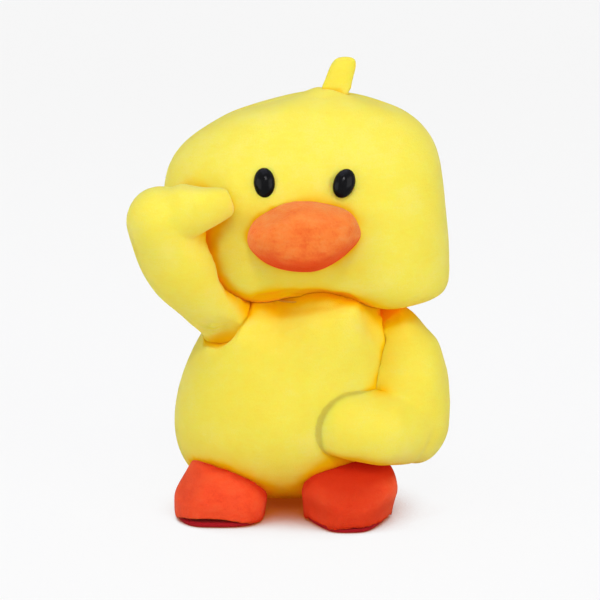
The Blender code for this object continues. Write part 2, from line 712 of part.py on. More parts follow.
def make_foot(side, sign, rings):
    spot = Vector((sign * FOOT_SPREAD, FOOT_LENGTH / 2 - FOOT_FRONT - sign * FOOT_STEP, 0.0))
    turn = Matrix.Rotation(sign * FOOT_TURN, 3, "Z").to_quaternion()
    sole = add_object(side + "_sole", foot_outline_mesh(side + "_sole", FOOT_WIDTH * SOLE_SHARE,
                                                        FOOT_LENGTH * SOLE_SHARE, SOLE_THICKNESS), PARTS)
    edge = sole.modifiers.new("rounded", "BEVEL")
    edge.width = SOLE_ROUND
    edge.segments = 2
    edge.limit_method = "ANGLE"
    place(sole, spot, turn)
    cut(sole, body_near)
    finish(sole, SOLE_RED, PLUSH_ROUGHNESS)
    mesh = stuffed_mesh(side + "_foot", FOOT_WIDTH, FOOT_LENGTH, FOOT_HEIGHT - SOLE_THICKNESS,
                        rings, FOOT_SQUARENESS)
    foot = subdivide(add_object(side + "_foot", mesh, PARTS), OUTER_LEVELS)
    place(foot, spot + Vector((0.0, 0.0, SOLE_THICKNESS)), turn)
    under = block(side + "_foot_under", Vector((-BODY_WIDTH, -BODY_DEPTH, -CUT_OVERRUN)),
                  Vector((BODY_WIDTH, BODY_DEPTH, SOLE_THICKNESS + SEAM_GAP)))
    cut(foot, under, body_near)
    finish(foot, DEEP_ORANGE, PLUSH_ROUGHNESS)
    origin = Vector((spot.x, -BODY_DEPTH, FOOT_HEIGHT))
    return surface_hit(body_outside, origin, -FORWARD)[0]


def make_tail():
    tail = limb("tail", TAIL_ROOT, Vector(TAIL_SHARES), TAIL_RADIUS, 0.0, TAIL_TIP_RADIUS,
                TAIL_LENGTH, PARTS)
    finish(tail, YELLOW, PLUSH_ROUGHNESS)


# Joints: one empty on each axis, which carries the pieces that turn about it

def hang(pivot_name, spot, axis, pieces, carrier=None):
    pivot = bpy.data.objects.new(pivot_name, None)
    PARTS.objects.link(pivot)
    pivot.parent = carrier or ROOT
    bpy.context.view_layer.update()
    pivot.matrix_world = ROOT.matrix_world @ Matrix.Translation(spot)
    bpy.context.view_layer.update()
    for name in pieces:
        piece = bpy.data.objects[name]
        kept = piece.matrix_world.copy()
        piece.parent = pivot
        piece.matrix_parent_inverse = pivot.matrix_world.inverted()
        piece.matrix_world = kept
    pivot["axis"] = axis.normalized()
    return pivot


def stand_on_origin():
    """Move the whole duck so that the middle of its base is the origin."""
    points = []
    for piece in PARTS.objects:
        if piece.type == "MESH":
            points += evaluated_points(piece)
    low = Vector([min(point[axis] for point in points) for axis in range(3)])
    high = Vector([max(point[axis] for point in points) for axis in range(3)])
    ROOT.location = Vector((-(low.x + high.x) / 2, -(low.y + high.y) / 2, -low.z))
    bpy.context.view_layer.update()
    size = high - low
    print("size", [round(value, 5) for value in size], "shift", [round(v, 6) for v in ROOT.location])


make_neck_thread()
make_body()
make_head()
make_bill()
tuft_root, tuft_axis = make_tuft()
make_arm("right", RIGHT_SHOULDER, RIGHT_ELBOW, RIGHT_UPPER, RIGHT_FORE_SHARES,
         (RIGHT_SHOULDER_RADIUS, RIGHT_UPPER_SWELL, RIGHT_ELBOW_RADIUS, RIGHT_UPPER.length,
          RIGHT_FORE_SWELL, RIGHT_HAND_RADIUS, RIGHT_FORE_LENGTH))
make_arm("left", LEFT_SHOULDER, LEFT_ELBOW, LEFT_UPPER, LEFT_FORE_SHARES,
         (LEFT_SHOULDER_RADIUS, LEFT_UPPER_SWELL, LEFT_ELBOW_RADIUS, LEFT_UPPER.length,
          LEFT_FORE_SWELL, LEFT_HAND_RADIUS, LEFT_FORE_LENGTH))
right_ankle = make_foot("right", -1, RIGHT_FOOT_RING_SHARES)
left_ankle = make_foot("left", 1, LEFT_FOOT_RING_SHARES)
make_tail()

neck_nod = hang("neck_nod", NECK, ACROSS, ["neck_thread"])
neck_turn = hang("neck_turn", NECK, UP,
                 ["head_cover", "head_filling", "bill", "right_eye", "left_eye",
                  "right_eye_washer", "left_eye_washer"], neck_nod)
hang("tuft_fold", tuft_root, tuft_axis, ["tuft"], neck_turn)
right_shoulder = hang("right_shoulder", RIGHT_SHOULDER, Vector(RIGHT_SWING_SHARES),
                      ["right_upper_arm", "right_upper_arm_wire"])
hang("right_elbow", RIGHT_ELBOW, Vector(RIGHT_FORE_SHARES).cross(RIGHT_UPPER),
     ["right_forearm", "right_forearm_wire"], right_shoulder)
left_shoulder = hang("left_shoulder", LEFT_SHOULDER, Vector(LEFT_SHOULDER_SHARES).cross(UP),
                     ["left_upper_arm", "left_upper_arm_wire"])
hang("left_elbow", LEFT_ELBOW, UP, ["left_forearm", "left_forearm_wire"], left_shoulder)
hang("right_ankle", right_ankle, ACROSS, ["right_foot", "right_sole"])
hang("left_ankle", left_ankle, ACROSS, ["left_foot", "left_sole"])
hang("tail_flex", TAIL_ROOT, ACROSS, ["tail"])
stand_on_origin()
for thing in PARTS.objects:
    if thing.type == "EMPTY" and thing is not ROOT:
        print("joint", thing.name, [round(v, 6) for v in thing.matrix_world.translation],
              [round(v, 6) for v in thing["axis"]])
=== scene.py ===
import json
import math
import bpy
import bmesh
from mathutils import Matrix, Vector, noise
from mathutils.bvhtree import BVHTree


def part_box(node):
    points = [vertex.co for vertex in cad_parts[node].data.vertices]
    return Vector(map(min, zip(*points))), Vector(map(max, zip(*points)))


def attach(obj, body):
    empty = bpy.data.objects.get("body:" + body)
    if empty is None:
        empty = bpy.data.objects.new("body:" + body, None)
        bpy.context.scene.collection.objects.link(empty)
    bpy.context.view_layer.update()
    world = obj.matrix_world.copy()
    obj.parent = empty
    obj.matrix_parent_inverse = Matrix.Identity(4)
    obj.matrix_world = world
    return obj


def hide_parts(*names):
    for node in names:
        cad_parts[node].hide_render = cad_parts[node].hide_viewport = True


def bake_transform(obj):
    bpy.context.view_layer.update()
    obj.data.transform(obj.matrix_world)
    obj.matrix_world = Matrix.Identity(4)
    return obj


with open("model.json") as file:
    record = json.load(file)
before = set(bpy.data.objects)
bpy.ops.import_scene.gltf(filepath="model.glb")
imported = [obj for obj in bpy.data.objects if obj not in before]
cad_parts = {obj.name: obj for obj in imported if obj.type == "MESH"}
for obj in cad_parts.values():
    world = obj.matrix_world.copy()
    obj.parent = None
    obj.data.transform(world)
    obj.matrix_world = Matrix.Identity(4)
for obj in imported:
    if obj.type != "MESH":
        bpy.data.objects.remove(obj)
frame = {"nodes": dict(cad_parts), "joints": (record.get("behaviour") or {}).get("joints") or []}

scene = bpy.context.scene
nodes = frame["nodes"]
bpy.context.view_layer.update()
scene.view_settings.view_transform = "Standard"
weldWithin = 0.00001


# Selecting and measuring

def deselectAll():
    if bpy.context.object and bpy.context.object.mode != "OBJECT":
        bpy.ops.object.mode_set(mode="OBJECT")
    bpy.ops.object.select_all(action="DESELECT")


def pickOnly(piece):
    deselectAll()
    piece.select_set(True)
    bpy.context.view_layer.objects.active = piece


def applyModifiers(piece):
    pickOnly(piece)
    for modifier in list(piece.modifiers):
        bpy.ops.object.modifier_apply(modifier=modifier.name)


def copyOf(name, *sources):
    deselectAll()
    for source in sources:
        made = bpy.data.objects.new(name, nodes[source].data.copy())
        scene.collection.objects.link(made)
        made.select_set(True)
        bpy.context.view_layer.objects.active = made
    if len(sources) > 1:
        bpy.ops.object.join()
    piece = bpy.context.object
    piece.name = name
    piece.data.materials.clear()
    bpy.ops.mesh.customdata_custom_splitnormals_clear()
    bpy.ops.object.mode_set(mode="EDIT")
    bpy.ops.mesh.select_all(action="SELECT")
    bpy.ops.mesh.remove_doubles(threshold=weldWithin)
    bpy.ops.object.mode_set(mode="OBJECT")
    return piece


def pointsOf(piece):     # each point with its normal, taken before any of them moves
    return [(v, v.normal.copy()) for v in piece.data.vertices]


def treeOf(piece):
    mesh = piece.data
    return BVHTree.FromPolygons([v.co.copy() for v in mesh.vertices],
                                [tuple(p.vertices) for p in mesh.polygons])


def nearness(point, centre, radius):     # 1 at the centre, nought at the radius
    return 1 - ((point - Vector(centre)).length / radius) ** 2


def ease(share):
    return share * share * (3 - 2 * share)


# Shaping the sewn forms

clothLook = {
    "pressure": 4.0, "frames": 20, "quality": 5, "mass": 0.3, "stretch": 15, "bend": 0.5,
    "quickShare": 0.5,                        # of the cap; nothing reads it
    "ease": 0.5,                              # factor of every smoothing
    "patternLevels": 2, "patternReach": 0.0035, "patternAlike": 0.3, "fullShare": 0.9,
    "hullFade": 0.004, "hullTurn": -0.5,      # the hull's flat underside is left alone
    "pressReach": 0.012, "edgeSink": 0.25,
}


def keepLargest(piece):      # drops the small shells that a remesh leaves inside
    mesh = bmesh.new()
    mesh.from_mesh(piece.data)
    left, shells = set(mesh.verts), []
    while left:
        shell, waiting = set(), [left.pop()]
        while waiting:
            vert = waiting.pop()
            shell.add(vert)
            for link in vert.link_edges:
                other = link.other_vert(vert)
                if other in left:
                    left.discard(other)
                    waiting.append(other)
        shells.append(shell)
    shells.sort(key=len, reverse=True)
    for shell in shells[1:]:
        bmesh.ops.delete(mesh, geom=list(shell), context="VERTS")
    mesh.to_mesh(piece.data)
    mesh.free()


def remesh(piece, voxel):
    modifier = piece.modifiers.new("remesh", "REMESH")
    modifier.mode = "VOXEL"
    modifier.voxel_size = voxel
    applyModifiers(piece)
    keepLargest(piece)


def relax(piece, times):
    modifier = piece.modifiers.new("relax", "SMOOTH")
    modifier.factor = clothLook["ease"]
    modifier.iterations = times
    applyModifiers(piece)


def swell(piece, amount):    # moves every point along its normal
    for v, normal in pointsOf(piece):
        v.co += normal * amount
    piece.data.update()


def roundOff(piece, levels):
    modifier = piece.modifiers.new("rounding", "SUBSURF")
    modifier.levels = modifier.render_levels = levels
    applyModifiers(piece)


def puffUp(piece, cap):     # cloth under pressure, and no point moves further than the cap
    before = [v.co.copy() for v in piece.data.vertices]
    cloth = piece.modifiers.new("puff", "CLOTH")
    settings = cloth.settings
    settings.quality = clothLook["quality"]
    settings.mass = clothLook["mass"]
    settings.tension_stiffness = settings.compression_stiffness = clothLook["stretch"]
    settings.bending_stiffness = clothLook["bend"]
    settings.use_pressure = True
    settings.uniform_pressure_force = clothLook["pressure"]
    settings.effector_weights.gravity = 0
    cloth.point_cache.frame_start, cloth.point_cache.frame_end = 1, clothLook["frames"]
    for number in range(1, clothLook["frames"] + 1):
        scene.frame_set(number)
    applyModifiers(piece)
    scene.frame_set(1)
    for v, old in zip(piece.data.vertices, before):
        move = v.co - old
        if move.length > cap:
            v.co = old + move * (cap / move.length)
    piece.data.update()


def pull(piece, centre, reach, move):      # soft grab at a place, as with proportional editing
    for v in piece.data.vertices:
        near = nearness(v.co, centre, reach)
        if near > 0:
            v.co += Vector(move) * near ** 2
    piece.data.update()


def grooveAt(piece, distanceTo, width, depth):     # sinks a sewn line where distanceTo(point) is nought
    for v, normal in pointsOf(piece):
        near = 1 - (distanceTo(v.co) / width) ** 2
        if near > 0:
            v.co -= normal * depth * near ** 2
    piece.data.update()


def pressAgainst(piece, others, gap):     # a soft piece gives way to what it lies on
    for tree in [treeOf(other) for other in others]:
        for v in piece.data.vertices:
            place, normal, index, distance = tree.find_nearest(v.co, clothLook["pressReach"])
            if place is not None:
                depth = (v.co - place).dot(normal)
                if depth < gap:
                    v.co += normal * (gap - depth)
    piece.data.update()


def cling(piece, others, gap, reach):     # plush lies closer to what it nearly touches
    for tree in [treeOf(other) for other in others]:
        for v in piece.data.vertices:
            place, normal, index, distance = tree.find_nearest(v.co, reach + gap)
            if place is not None:
                depth = (v.co - place).dot(normal) - gap
                if 0 < depth < reach:
                    v.co += normal * (depth * ease(depth / reach) - depth)
    piece.data.update()


def soothe(piece, centre, radius, times):     # smooths one place only
    group = piece.vertex_groups.new(name="soothed")
    for v in piece.data.vertices:
        near = nearness(v.co, centre, radius)
        if near > 0:
            group.add([v.index], near, "REPLACE")
    modifier = piece.modifiers.new("soothe", "SMOOTH")
    modifier.factor = clothLook["ease"]
    modifier.iterations = times
    modifier.vertex_group = "soothed"
    applyModifiers(piece)
    piece.vertex_groups.clear()


def hug(piece, other, centre, radius, reach, rise):     # the ground swells round what is pressed on it
    tree = treeOf(other)
    for v in piece.data.vertices:
        near = nearness(v.co, centre, radius)
        if near > 0:
            share = 1 - (tree.find_nearest(v.co)[3] / reach) ** 2
            if share > 0:
                v.co += Vector(rise) * (share * share * ease(near))
    piece.data.update()


def flatten(piece, ground, centre, radius, share):     # stuffing gives way where it is pressed down
    tree = treeOf(ground)
    for v in piece.data.vertices:
        near = nearness(v.co, centre, radius)
        if near > 0:
            place, normal, index, distance = tree.find_nearest(v.co)
            v.co -= normal * (max(0.0, (v.co - place).dot(normal)) * share * ease(near))
    piece.data.update()


def flare(piece, ground, reach, spread, centre, radius):     # the edge spreads over what it lies on
    tree = treeOf(ground)
    for v, outward in pointsOf(piece):
        near = nearness(v.co, centre, radius)
        place, normal, index, distance = tree.find_nearest(v.co, reach)
        if place is None or near <= 0:
            continue
        share = 1 - max(0.0, (v.co - place).dot(normal)) / reach
        along = outward - normal * outward.dot(normal)
        v.co += (along - normal * clothLook["edgeSink"]) * (spread * share * share * near)
    piece.data.update()


def fillOut(piece, sources, extra):      # brings a smoothed form back out to its full size
    pattern = copyOf("pattern", *sources)
    roundOff(pattern, clothLook["patternLevels"])
    tree = treeOf(pattern)
    bpy.data.objects.remove(pattern)
    for v, normal in pointsOf(piece):
        place, facing, index, distance = tree.find_nearest(v.co, clothLook["patternReach"])
        if place is not None and facing.dot(normal) > clothLook["patternAlike"]:
            v.co += normal * ((place - v.co).dot(normal) * clothLook["fullShare"] + extra)
        else:
            v.co += normal * extra
    piece.data.update()


def evenOut(piece, sources, top):     # fills the hollow between the upper and the panel it is sewn to
    shell = copyOf("shell", *sources)
    bpy.ops.object.mode_set(mode="EDIT")
    bpy.ops.mesh.convex_hull()
    bpy.ops.object.mode_set(mode="OBJECT")
    tree = treeOf(shell)
    bpy.data.objects.remove(shell)
    for v in piece.data.vertices:
        share = min(1.0, max(0.0, (top - v.co.z) / clothLook["hullFade"]))
        place, normal, index, distance = tree.find_nearest(v.co)
        if share > 0 and normal.z > clothLook["hullTurn"] and (v.co - place).dot(normal) < 0:
            v.co += (place - v.co) * share
    piece.data.update()


def unevenness(piece, size, height, seed):   # the slight lumps of hand stuffing
    for v, normal in pointsOf(piece):
        v.co += normal * height * noise.noise(v.co / size + Vector((seed, 0, 0)))
    piece.data.update()


def sewn(name, form, *sources, pattern=()):     # a CAD form as a stuffed skin, with the pulls of its form
    piece = copyOf(name, *sources)
    early, middle, late = form["eased"]
    remesh(piece, form["voxel"])
    relax(piece, early)
    if "cap" in form:
        swell(piece, -form["tuck"])
        puffUp(piece, form["cap"])
    roundOff(piece, form["levels"])
    relax(piece, middle)
    fillOut(piece, pattern or sources, form["full"])
    if "evenTop" in form:
        evenOut(piece, sources, form["evenTop"])
    relax(piece, late)
    if "lump" in form:
        unevenness(piece, form["lumpSize"], form["lump"], form["seed"])
    for spot in form.get("pulls", ()):
        pull(piece, *spot)
    return piece


def finishPiece(piece, material, body, standsFor):
    pickOnly(piece)
    bpy.ops.object.shade_smooth()
    piece.data.materials.clear()
    piece.data.materials.append(material)
    if body:
        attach(piece, body)
    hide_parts(*standsFor)


# Materials

def nodeOf(tree, kind, place, **values):
    made = tree.nodes.new(kind)
    made.location = place
    for key, value in values.items():
        setattr(made, key, value)
    return made


def mathOf(tree, operation, place, first, second=None, clamp=False):
    made = nodeOf(tree, "ShaderNodeMath", place, operation=operation, use_clamp=clamp)
    for socket, value in zip(made.inputs, (first, second)):
        if isinstance(value, (int, float)):
            socket.default_value = value
        elif value is not None:
            tree.links.new(value, socket)
    return made.outputs[0]


def mixOf(tree, place, factor, first, second):
    made = nodeOf(tree, "ShaderNodeMix", place, data_type="RGBA")
    for socket, value in zip((made.inputs[0], made.inputs[6], made.inputs[7]), (factor, first, second)):
        if isinstance(value, (int, float, tuple)):
            socket.default_value = value
        else:
            tree.links.new(value, socket)
    return made.outputs[2]


def noiseOf(tree, place, vector, scale, detail=2.0, roughness=0.5):
    made = nodeOf(tree, "ShaderNodeTexNoise", place)
    made.inputs["Detail"].default_value = detail
    made.inputs["Roughness"].default_value = roughness
    if isinstance(scale, (int, float)):
        made.inputs["Scale"].default_value = scale
    else:
        tree.links.new(scale, made.inputs["Scale"])
    tree.links.new(vector, made.inputs["Vector"])
    return made.outputs["Fac"]


pileLook = {
    "across": (0.14, 0.14, 0.42),     # tufts that lie across
    "broad": 17.0, "brushHeight": 0.6, "napTone": 0.9, "patchTone": 1.2,
    # ranges of the painted shade mask for the warm and the deep painted shade, how far sheen and gloss are
    # dimmed in painted shade, and the strength of the painted glow in deep painted shade
    "warmShadeRange": (0.05, 0.42), "deepShadeRange": (0.34, 0.80), "dimmedInShade": -0.9, "glow": 0.10,
    "rough": 0.62, "roughSpread": 0.3,
}


def makeShortPile():     # nap, lie of the fibres and brushed patches of a plush, with painted shade where a mask is high: warmer and deeper colours, dimmed sheen and a painted glow
    tree = bpy.data.node_groups.new("shortPile", "ShaderNodeTree")
    face = tree.interface
    for name, kind, value in (("Place", "NodeSocketVector", None),
                              ("Base", "NodeSocketColor", (0.9, 0.8, 0.1, 1)),
                              ("Pressed", "NodeSocketColor", (0.8, 0.5, 0.03, 1)),
                              ("Tips", "NodeSocketColor", (1, 0.9, 0.3, 1)),
                              ("Nap", "NodeSocketFloat", 1300.0),
                              ("Brush", "NodeSocketFloat", 60.0),
                              ("Streak", "NodeSocketFloat", 0.4),
                              ("Contrast", "NodeSocketFloat", 0.6),
                              ("PaintedShade", "NodeSocketFloat", 0.0),
                              # painted shade colours, warm and deep
                              ("Warmshade", "NodeSocketColor", (0.85, 0.6, 0.03, 1)),
                              ("Deepshade", "NodeSocketColor", (0.75, 0.2, 0.01, 1))):
        socket = face.new_socket(name=name, in_out="INPUT", socket_type=kind)
        if value is not None:
            socket.default_value = value
    for name, kind in (("Colour", "NodeSocketColor"), ("Height", "NodeSocketFloat"),
                       ("Roughness", "NodeSocketFloat"), ("Unshaded", "NodeSocketFloat"),
                       ("PaintedGlow", "NodeSocketFloat")):
        face.new_socket(name=name, in_out="OUTPUT", socket_type=kind)
    given = nodeOf(tree, "NodeGroupInput", (-1200, 0))
    result = nodeOf(tree, "NodeGroupOutput", (1150, 0))
    place = given.outputs["Place"]
    stretch = nodeOf(tree, "ShaderNodeMapping", (-1000, -200))
    stretch.inputs["Scale"].default_value = pileLook["across"]
    tree.links.new(place, stretch.inputs["Vector"])
    nap = noiseOf(tree, (-750, 200), place, given.outputs["Nap"], 2, 0.65)
    fibre = noiseOf(tree, (-750, 0), stretch.outputs[0], given.outputs["Nap"], 1.5, 0.5)
    brush = noiseOf(tree, (-750, -200), place, given.outputs["Brush"], 2.5, 0.55)
    broad = noiseOf(tree, (-750, -400), place, pileLook["broad"], 1, 0.5)
    fibrePart = mathOf(tree, "MULTIPLY", (-520, 0), fibre, given.outputs["Streak"])
    tuftTone = mathOf(tree, "SUBTRACT", (-520, -90), fibre, 0.5)
    tuftTone = mathOf(tree, "MULTIPLY", (-420, -90), tuftTone, given.outputs["Streak"])
    height = mathOf(tree, "ADD", (-340, 100), nap, fibrePart)
    brushPart = mathOf(tree, "MULTIPLY", (-520, -200), brush, pileLook["brushHeight"])
    height = mathOf(tree, "ADD", (-160, 60), height, brushPart)
    tone = mathOf(tree, "SUBTRACT", (-340, -100), nap, 0.5)
    tone = mathOf(tree, "MULTIPLY", (-240, -100), tone, pileLook["napTone"])
    patch = mathOf(tree, "SUBTRACT", (-340, -250), brush, 0.5)
    patch = mathOf(tree, "MULTIPLY", (-240, -250), patch, pileLook["patchTone"])
    wide = mathOf(tree, "SUBTRACT", (-340, -400), broad, 0.5)
    tone = mathOf(tree, "ADD", (-180, -120), tone, tuftTone)
    tone = mathOf(tree, "ADD", (-120, -150), tone, patch)
    tone = mathOf(tree, "ADD", (-20, -200), tone, wide)
    tone = mathOf(tree, "MULTIPLY", (80, -200), tone, given.outputs["Contrast"])
    paler = mathOf(tree, "MULTIPLY", (200, -100), tone, 2.0, clamp=True)
    deeper = mathOf(tree, "MULTIPLY", (200, -260), tone, -2.0, clamp=True)
    shadeShares = []
    # painted shade: two ranges of the mask give the shares of the warm and the deep shade colours
    for key, down in (("warmShadeRange", -420), ("deepShadeRange", -640)):
        shut = nodeOf(tree, "ShaderNodeMapRange", (300, down), interpolation_type="SMOOTHSTEP")
        tree.links.new(given.outputs["PaintedShade"], shut.inputs["Value"])
        shut.inputs["From Min"].default_value, shut.inputs["From Max"].default_value = pileLook[key]
        shadeShares.append(shut.outputs["Result"])
    colour = mixOf(tree, (450, 100), paler, given.outputs["Base"], given.outputs["Tips"])
    colour = mixOf(tree, (620, 100), deeper, colour, given.outputs["Pressed"])
    colour = mixOf(tree, (780, 100), shadeShares[0], colour, given.outputs["Warmshade"])
    colour = mixOf(tree, (940, 100), shadeShares[1], colour, given.outputs["Deepshade"])
    rough = mathOf(tree, "MULTIPLY", (450, -150), nap, pileLook["roughSpread"])
    rough = mathOf(tree, "ADD", (620, -150), rough, pileLook["rough"])
    # sheen and gloss are dimmed where the shade is painted
    clear = mathOf(tree, "MULTIPLY_ADD", (620, -420), shadeShares[0], pileLook["dimmedInShade"])
    clear.node.inputs[2].default_value = 1.0
    tree.links.new(clear, result.inputs["Unshaded"])
    # painted glow where the deep shade is painted
    glow = mathOf(tree, "MULTIPLY", (620, -640), shadeShares[1], pileLook["glow"])
    tree.links.new(glow, result.inputs["PaintedGlow"])
    tree.links.new(colour, result.inputs["Colour"])
    tree.links.new(height, result.inputs["Height"])
    tree.links.new(rough, result.inputs["Roughness"])
    return tree


shortPile = makeShortPile()


def plushMaterial(name, look):
    made = bpy.data.materials.new(name)
    made.use_nodes = True
    tree = made.node_tree
    shader = tree.nodes["Principled BSDF"]
    place = nodeOf(tree, "ShaderNodeTexCoord", (-900, 0))
    pile = nodeOf(tree, "ShaderNodeGroup", (-600, 0), node_tree=shortPile)
    tree.links.new(place.outputs["Object"], pile.inputs["Place"])
    for key in ("base", "pressed", "tips", "warmshade", "deepshade"):
        pile.inputs[key.capitalize()].default_value = (*look[key], 1)
    for key in ("nap", "brush", "streak", "contrast"):
        pile.inputs[key.capitalize()].default_value = look[key]
    # painted shade mask from the point attribute
    paintedShade = nodeOf(tree, "ShaderNodeAttribute", (-900, -250), attribute_name="paintedShade")
    tree.links.new(paintedShade.outputs["Fac"], pile.inputs["PaintedShade"])
    bump = nodeOf(tree, "ShaderNodeBump", (-300, -250))
    bump.inputs["Strength"].default_value = look["bump"]
    bump.inputs["Distance"].default_value = look["depth"]
    tree.links.new(pile.outputs["Height"], bump.inputs["Height"])
    tree.links.new(pile.outputs["Colour"], shader.inputs["Base Color"])
    tree.links.new(pile.outputs["Colour"], shader.inputs["Emission Color"])      # painted glow: the pile's colour given off where deep shade is painted, in place of light bounced between the parts
    tree.links.new(pile.outputs["PaintedGlow"], shader.inputs["Emission Strength"])
    tree.links.new(pile.outputs["Roughness"], shader.inputs["Roughness"])
    tree.links.new(bump.outputs["Normal"], shader.inputs["Normal"])
    # sheen and gloss dimmed where shade is painted
    for socket, key, down in (("Specular IOR Level", "gloss", 300), ("Sheen Weight", "sheen", 200)):
        dimmedInShade = mathOf(tree, "MULTIPLY", (-300, down), pile.outputs["Unshaded"], look[key])
        tree.links.new(dimmedInShade, shader.inputs[socket])
    shader.inputs["Subsurface Weight"].default_value = look["through"]
    shader.inputs["Subsurface Radius"].default_value = (1.0, 0.45, 0.08)
    shader.inputs["Subsurface Scale"].default_value = 0.005
    shader.inputs["Sheen Roughness"].default_value = look["sheenSpread"]
    shader.inputs["Sheen Tint"].default_value = (*look["sheenTint"], 1)
    return made


# in each look the warm and the deep colours are painted shade, for places shut in from the light or facing
# down
yellowLook = {
    "base": (1.0, 0.835, 0.092),
    "pressed": (0.99, 0.74, 0.040),
    "tips": (1.0, 0.90, 0.24),
    "warmshade": (1.0, 0.60, 0.002),
    "deepshade": (0.98, 0.34, 0.001),
    "nap": 1350.0, "brush": 62.0, "streak": 0.45, "contrast": 0.50,
    "bump": 0.55, "depth": 0.0005,
    "gloss": 0.12, "through": 0.35, "sheen": 0.40, "sheenSpread": 0.42, "sheenTint": (1.0, 0.94, 0.50),
}
billLook = {
    "base": (1.0, 0.235, 0.038),
    "pressed": (0.93, 0.14, 0.020),
    "tips": (1.0, 0.32, 0.07),
    "warmshade": (0.90, 0.072, 0.010),
    "deepshade": (0.80, 0.045, 0.004),
    "nap": 760.0, "brush": 150.0, "streak": 1.3, "contrast": 0.80,
    "bump": 0.9, "depth": 0.0007,
    "gloss": 0.12, "through": 0.35, "sheen": 0.30, "sheenSpread": 0.42, "sheenTint": (1.0, 0.70, 0.45),
}
footLook = {
    "base": (1.0, 0.088, 0.022),
    "pressed": (0.80, 0.042, 0.010),
    "tips": (1.0, 0.15, 0.045),
    "warmshade": (0.68, 0.040, 0.010),
    "deepshade": (0.52, 0.022, 0.005),
    "nap": 1000.0, "brush": 110.0, "streak": 0.6, "contrast": 0.6,
    "bump": 0.7, "depth": 0.0006,
    "gloss": 0.12, "through": 0.35, "sheen": 0.30, "sheenSpread": 0.42, "sheenTint": (1.0, 0.55, 0.35),
}
soleLook = {
    "base": (0.42, 0.006, 0.013),
    "pressed": (0.30, 0.003, 0.007),
    "tips": (0.52, 0.016, 0.022),
    "warmshade": (0.36, 0.004, 0.010),
    "deepshade": (0.26, 0.002, 0.006),
    "nap": 1200.0, "brush": 120.0, "streak": 0.3, "contrast": 0.6,
    "bump": 0.4, "depth": 0.0004,
    "gloss": 0.15, "through": 0.0, "sheen": 0.15, "sheenSpread": 0.4, "sheenTint": (1.0, 0.5, 0.4),
}
yellowPlush = plushMaterial("yellowPlush", yellowLook)
billPlush = plushMaterial("billPlush", billLook)
footPlush = plushMaterial("footPlush", footLook)
solePlush = plushMaterial("solePlush", soleLook)


def plainMaterial(name, look):      # moulded, drawn or spun stock with a fine surface
    made = bpy.data.materials.new(name)
    made.use_nodes = True
    tree = made.node_tree
    shader = tree.nodes["Principled BSDF"]
    place = nodeOf(tree, "ShaderNodeTexCoord", (-900, 0))
    stretch = nodeOf(tree, "ShaderNodeMapping", (-740, 0))
    stretch.inputs["Scale"].default_value = look["stretch"]
    tree.links.new(place.outputs["Object"], stretch.inputs["Vector"])
    grain = noiseOf(tree, (-560, 0), stretch.outputs[0], look["scale"], 3, 0.6)
    colour = mixOf(tree, (-340, 120), grain, (*look["dark"], 1), (*look["light"], 1))
    rough = mathOf(tree, "MULTIPLY", (-340, -80), grain, look["roughSpread"])
    rough = mathOf(tree, "ADD", (-180, -80), rough, look["rough"])
    bump = nodeOf(tree, "ShaderNodeBump", (-340, -280))
    bump.inputs["Strength"].default_value = look["bump"]
    bump.inputs["Distance"].default_value = 0.0001
    tree.links.new(grain, bump.inputs["Height"])
    tree.links.new(colour, shader.inputs["Base Color"])
    tree.links.new(rough, shader.inputs["Roughness"])
    tree.links.new(bump.outputs["Normal"], shader.inputs["Normal"])
    shader.inputs["Metallic"].default_value = look["metal"]
    shader.inputs["Specular IOR Level"].default_value = look["specular"]
    shader.inputs["Coat Weight"].default_value = look["coat"]
    shader.inputs["Coat Roughness"].default_value = 0.06
    return made


hardware = {
    "eyePlastic": {
        "dark": (0.002, 0.002, 0.0025), "light": (0.006, 0.006, 0.007), "scale": 220.0, "stretch": (1, 1, 1),
        "rough": 0.13, "roughSpread": 0.05, "bump": 0.02, "metal": 0.0, "coat": 0.0, "specular": 0.08},
    "washerPlastic": {
        "dark": (0.55, 0.55, 0.53), "light": (0.72, 0.72, 0.70), "scale": 300.0, "stretch": (1, 1, 1),
        "rough": 0.42, "roughSpread": 0.2, "bump": 0.05, "metal": 0.0, "coat": 0.0, "specular": 0.5},
    "threadPolyester": {
        "dark": (0.60, 0.30, 0.01), "light": (0.85, 0.48, 0.02), "scale": 900.0, "stretch": (1, 1, 3),
        "rough": 0.5, "roughSpread": 0.3, "bump": 0.6, "metal": 0.0, "coat": 0.0, "specular": 0.5},
    "armatureWire": {
        "dark": (0.30, 0.30, 0.31), "light": (0.46, 0.46, 0.47), "scale": 500.0, "stretch": (3, 3, 0.3),
        "rough": 0.28, "roughSpread": 0.2, "bump": 0.1, "metal": 1.0, "coat": 0.0, "specular": 0.5},
}
hardwareMaterial = {name: plainMaterial(name, look) for name, look in hardware.items()}
print("materials made")


# Head and body skins

skinForm = {
    "voxel": 0.0036, "eased": (3, 4, 6), "tuck": 0.0012, "cap": 0.0016, "levels": 2, "full": 0.0006,
    "lump": 0.0004, "lumpSize": 0.028, "gap": 0.0002,
    "seamWidth": 0.0022, "seamDepth": 0.0009,
    "headSeamBack": 0.002, "headSeamWave": 0.004, "headSeamTurns": 30, "bodySeamFrom": 0.01,
}


def jointPlace(name):
    return Vector(next(j for j in frame["joints"] if j["name"] == name)["pos_m"])


